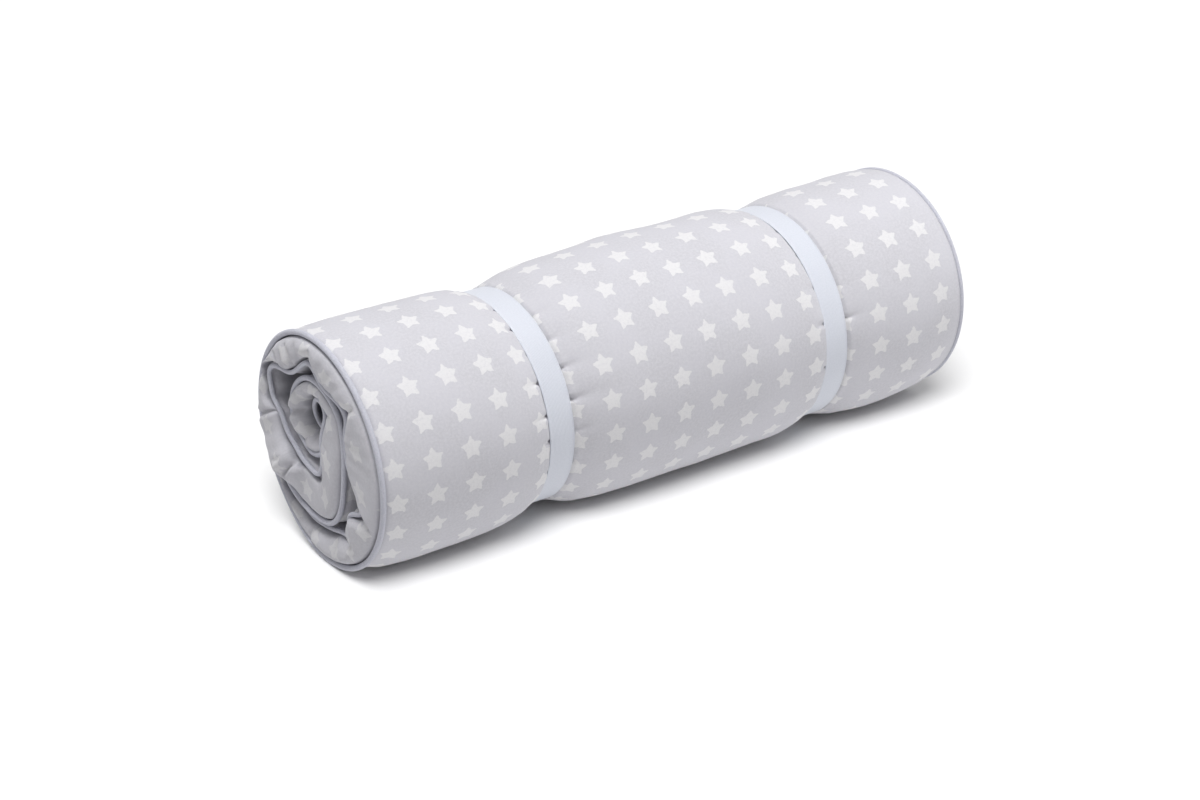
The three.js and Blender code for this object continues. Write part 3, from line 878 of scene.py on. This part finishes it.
# 1 on a star and 0 on the ground
def starMask(shader, place, u, v):
    fifth = 2 * math.pi / 5
    reach, waist = cottonFinish["starReach"], cottonFinish["starWaist"]
    tilt = math.atan((reach - waist * math.cos(fifth / 2)) / (waist * math.sin(fifth / 2)))
    warp = shader.add("ShaderNodeTexNoise", {"Vector": place, "Scale": 0.11, "Detail": 1.0})
    bent = shader.add("ShaderNodeSeparateXYZ", {0: warp.outputs["Color"]})

    def local(value, pitch, first, wave):
        moved = shader.sum("ADD", value, shader.sum("MULTIPLY", shader.sum("SUBTRACT", wave, 0.5),
                                                    cottonFinish["wobble"] * 2))
        turns = shader.sum("DIVIDE", shader.sum("SUBTRACT", moved, first - pitch / 2), pitch)
        inside = shader.sum("SUBTRACT", shader.sum("FRACT", turns), 0.5)
        return shader.sum("MULTIPLY", inside, pitch)

    across = local(u, cotton["columnPitch"], 0, bent.outputs[0])
    upwards = local(v, cotton["rowPitch"], cotton["firstRow"], bent.outputs[1])
    far = shader.sum("SQRT", shader.sum("ADD", shader.sum("MULTIPLY", across, across),
                                        shader.sum("MULTIPLY", upwards, upwards)))
    turned = shader.sum("ARCTAN2", across, upwards)
    fifths = shader.sum("ADD", shader.sum("DIVIDE", turned, fifth), 0.5)
    sector = shader.sum("SUBTRACT", shader.sum("FRACT", fifths), 0.5)
    fromTip = shader.sum("MULTIPLY", shader.sum("ABSOLUTE", sector), fifth)
    level = shader.sum("MULTIPLY", far, shader.sum("COSINE", shader.sum("SUBTRACT", fromTip, tilt)))
    outside = shader.sum("SUBTRACT", level, reach * math.cos(tilt))
    tip = shader.sum("SUBTRACT", far, cottonFinish["starRound"])
    beyond = shader.sum("SMOOTH_MAX", outside, tip, 0.8)
    ragged = shader.sum("SUBTRACT", shader.noise(place, 0.55, 2.0, 0.6), 0.5)
    beyond = shader.sum("ADD", beyond, shader.sum("MULTIPLY", ragged, cottonFinish["ragged"] * 2))
    return shader.between(beyond, cottonFinish["edge"] / 2, -cottonFinish["edge"] / 2)


def weave(shader, u, v, place, thread):
    rounds = 2 * math.pi / thread
    warp = shader.sum("SINE", shader.sum("MULTIPLY", u, rounds))
    weft = shader.sum("SINE", shader.sum("MULTIPLY", v, rounds))
    slub = shader.noise(place, 1.4, 3.0, 0.6)
    return shader.sum("ADD", shader.sum("MULTIPLY", shader.sum("MULTIPLY", warp, weft), 0.5), slub)


def starCotton():
    shader = Shader("starCotton")
    place, u, v = shader.clothPlace()
    star = starMask(shader, place, u, v)
    blotch = shader.noise(place, 0.02, 3.0, 0.55)
    grain = shader.noise(place, 0.42, 4.0, 0.7)
    ground = shader.mix(shader.between(blotch, 0.35, 0.65), cottonFinish["ground"], cottonFinish["shade"])
    worn = shader.mix(shader.between(grain, 0.35, 0.68), ground, cottonFinish["worn"])
    star = shader.sum("MULTIPLY", star, shader.between(grain, -0.1, 0.62))
    # painted shade on the roll's ends: the stars are painted dimmer on the boxing
    boxing = shader.add("ShaderNodeAttribute", attribute_name="boxing").outputs["Fac"]
    star = shader.sum("MULTIPLY", star, shader.sum("SUBTRACT", 1, shader.sum("MULTIPLY", boxing, 0.22)))
    colour = shader.mix(star, worn, cottonFinish["star"])
    # painted shade: the colour darkens towards the painted shade colour at the seams, deep in the roll and a
    # little over the whole boxing
    seam = shader.add("ShaderNodeAttribute", attribute_name="seam").outputs["Fac"]
    shadeShare = shader.sum("MINIMUM", shader.sum("ADD", shader.sum("MULTIPLY", seam, 0.75),
                                              shader.sum("MULTIPLY", boxing, 0.06)), 0.92)
    colour = shader.mix(shadeShare, colour, cottonFinish["seam"])
    shader.join(colour, shader.surface.inputs["Base Color"])
    soft = shader.bump(shader.noise(place, 0.12, 3.0, 0.5), 0.0007, 0.35)
    shader.join(shader.bump(weave(shader, u, v, place, cottonFinish["thread"]), 0.00006, 0.6, soft),
                shader.surface.inputs["Normal"])
    shader.surface.inputs["Roughness"].default_value = 0.9
    shader.surface.inputs["Specular IOR Level"].default_value = 0.25
    shader.surface.inputs["Sheen Weight"].default_value = 0.12
    shader.surface.inputs["Sheen Roughness"].default_value = 0.5
    return shader.material


def pipingCotton():
    shader = Shader("pipingCotton")
    place, u, v = shader.clothPlace()
    grain = shader.noise(place, 0.5, 4.0, 0.6)
    colour = shader.mix(shader.between(grain, 0.3, 0.7), srgb(198, 199, 211), srgb(210, 210, 220))
    shader.join(colour, shader.surface.inputs["Base Color"])
    slant = shader.sum("ADD", u, shader.sum("MULTIPLY", v, 0.9))
    gather = shader.sum("SINE", shader.sum("MULTIPLY", slant, 2 * math.pi / 3.1))
    lumps = shader.noise(place, 0.35, 2.0, 0.5)
    pull = shader.bump(shader.sum("ADD", shader.sum("MULTIPLY", gather, 0.12), lumps), 0.0004, 0.3)
    twisted = weave(shader, shader.sum("ADD", u, v), shader.sum("SUBTRACT", u, v), place, 0.5)
    shader.join(shader.bump(twisted, 0.00006, 0.5, pull), shader.surface.inputs["Normal"])
    shader.surface.inputs["Roughness"].default_value = 0.85
    shader.surface.inputs["Specular IOR Level"].default_value = 0.3
    shader.surface.inputs["Sheen Weight"].default_value = 0.1
    return shader.material


def whiteElastic():
    shader = Shader("whiteElastic")
    place, u, v = shader.clothPlace()
    rib = shader.sum("SINE", shader.sum("MULTIPLY", v, 2 * math.pi / 1.25))
    pick = shader.sum("SINE", shader.sum("MULTIPLY", u, 2 * math.pi / 0.8))
    grain = shader.noise(place, 0.6, 3.0, 0.6)
    # the colour follows the ribs, lighter on them and darker between them as painted shade, with a random
    # grain on top
    grainAndRibShade = shader.between(shader.sum("ADD", grain, shader.sum("MULTIPLY", rib, 0.2)), 0.1, 0.9)
    colour = shader.mix(grainAndRibShade, srgb(216, 220, 230), srgb(226, 229, 239))
    shader.join(colour, shader.surface.inputs["Base Color"])
    height = shader.sum("ADD", rib, shader.sum("MULTIPLY", pick, 0.5))
    shader.join(shader.bump(height, 0.00012, 0.5), shader.surface.inputs["Normal"])
    shader.surface.inputs["Roughness"].default_value = 0.45
    shader.surface.inputs["Specular IOR Level"].default_value = 0.5
    shader.surface.inputs["Sheen Weight"].default_value = 0.15
    return shader.material


mattress = buildPad()
mattress.data.materials.append(starCotton())
print("pad built:", len(mattress.data.polygons), "faces")

pieces = [mattress]
cord = pipingCotton()
for name, face, node in (("OuterPiping", "outer", "piping_outer"), ("InnerPiping", "inner", "piping_inner")):
    pieces.append(buildPiping(name, face, node))
    pieces[-1].data.materials.append(cord)
print("piping built")

ribbed = whiteElastic()
for name, band, seed in (("NearBand", bands[0], 1), ("FarBand", bands[1], 4)):
    pieces.append(buildBand(name, band, seed))
    pieces[-1].data.materials.append(ribbed)
print("bands built")

# The studio: a pale floor, soft lamps that light the roll and the floor apart, and the camera.
studio = {
    "cameraAt": (-1.1262, -1.5535, 1.0152),
    "lookAt": (-0.0259, 0, 0.0683),
    "lens": 73.97,
    "floorSize": 40,
    "floorSeen": srgb(250, 250, 250),
    "floorColour": srgb(211, 211, 211),
    "skyLevel": 0.6,
    "horizonLevel": 0.05,
    "lights": {              # towards the light, level, spread in degrees, what it lights
        "overhead": ((-0.08, -0.03, 1), 0.67, 24, "roll"),
        "front": ((0.6, -1, 0.04), 0.155, 40, "roll"),
        "floor": ((-0.42, -0.52, 1), 0.86, 28, "floor"),
    },
    "farSideAt": (0.85, -0.8, 0.35),
    "farSidePower": 2.1,
    "farSideSize": 0.8,
}


def buildStudio(pieces):
    mesh = bpy.data.meshes.new("floor")
    half = studio["floorSize"] / 2
    corners = [(-half, -half, 0), (half, -half, 0), (half, half, 0), (-half, half, 0)]
    mesh.from_pydata(corners, [], [(0, 1, 2, 3)])
    floor = bpy.data.objects.new("Floor", mesh)
    bpy.context.scene.collection.objects.link(floor)
    shader = Shader("paleFloor")
    path = shader.add("ShaderNodeLightPath")
    seen = shader.sum("MAXIMUM", path.outputs["Is Camera Ray"], path.outputs["Is Glossy Ray"])
    seen = shader.sum("MAXIMUM", seen, path.outputs["Is Transmission Ray"])
    pale = shader.mix(seen, studio["floorColour"], studio["floorSeen"])
    shader.join(pale, shader.surface.inputs["Base Color"])
    shader.surface.inputs["Roughness"].default_value = 0.95
    shader.surface.inputs["Specular IOR Level"].default_value = 0.1
    mesh.materials.append(shader.material)

    world = bpy.data.worlds.new("studio")
    bpy.context.scene.world = world
    world.use_nodes = True
    nodes, links = world.node_tree.nodes, world.node_tree.links
    place = nodes.new("ShaderNodeTexCoord")
    parts = nodes.new("ShaderNodeSeparateXYZ")
    level = nodes.new("ShaderNodeMapRange")
    links.new(place.outputs["Generated"], parts.inputs[0])
    links.new(parts.outputs[2], level.inputs["Value"])
    level.inputs["To Min"].default_value = studio["horizonLevel"]
    level.inputs["To Max"].default_value = studio["skyLevel"]
    path = nodes.new("ShaderNodeLightPath")
    seen = path.outputs["Is Camera Ray"]
    for ray in ("Is Glossy Ray", "Is Transmission Ray"):
        larger = nodes.new("ShaderNodeMath")
        larger.operation = "MAXIMUM"
        links.new(seen, larger.inputs[0])
        links.new(path.outputs[ray], larger.inputs[1])
        seen = larger.outputs[0]
    strength = nodes.new("ShaderNodeMix")
    strength.inputs["B"].default_value = 1
    links.new(seen, strength.inputs["Factor"])
    links.new(level.outputs["Result"], strength.inputs["A"])
    links.new(strength.outputs["Result"], nodes["Background"].inputs["Strength"])
    nodes["Background"].inputs["Color"].default_value = (1, 1, 1, 1)

    lit = {"roll": bpy.data.collections.new("lit_roll"), "floor": bpy.data.collections.new("lit_floor")}
    lit["floor"].objects.link(floor)
    for piece in pieces:
        lit["roll"].objects.link(piece)

    def addLamp(light, towards, receiver):
        lamp = bpy.data.objects.new(light.name, light)
        lamp.location = towards
        lamp.rotation_euler = Vector(towards).to_track_quat("Z", "Y").to_euler()
        lamp.light_linking.receiver_collection = lit[receiver]
        bpy.context.scene.collection.objects.link(lamp)

    for name, (towards, lightLevel, spreadAngle, receiver) in studio["lights"].items():
        light = bpy.data.lights.new(name, "SUN")
        light.energy = lightLevel * math.pi
        light.angle = math.radians(spreadAngle)
        addLamp(light, towards, receiver)
    light = bpy.data.lights.new("farSide", "AREA")
    light.energy = studio["farSidePower"]
    light.size = studio["farSideSize"]
    addLamp(light, studio["farSideAt"], "roll")

    camera = bpy.data.objects.new("Camera", bpy.data.cameras.new("Camera"))
    camera.data.lens = studio["lens"]
    camera.location = studio["cameraAt"]
    camera.rotation_euler = (Vector(studio["lookAt"]) - camera.location).to_track_quat("-Z", "Y").to_euler()
    bpy.context.scene.collection.objects.link(camera)
    bpy.context.scene.camera = camera
    bpy.context.scene.view_settings.view_transform = "Standard"


buildStudio(pieces)
print("studio set")
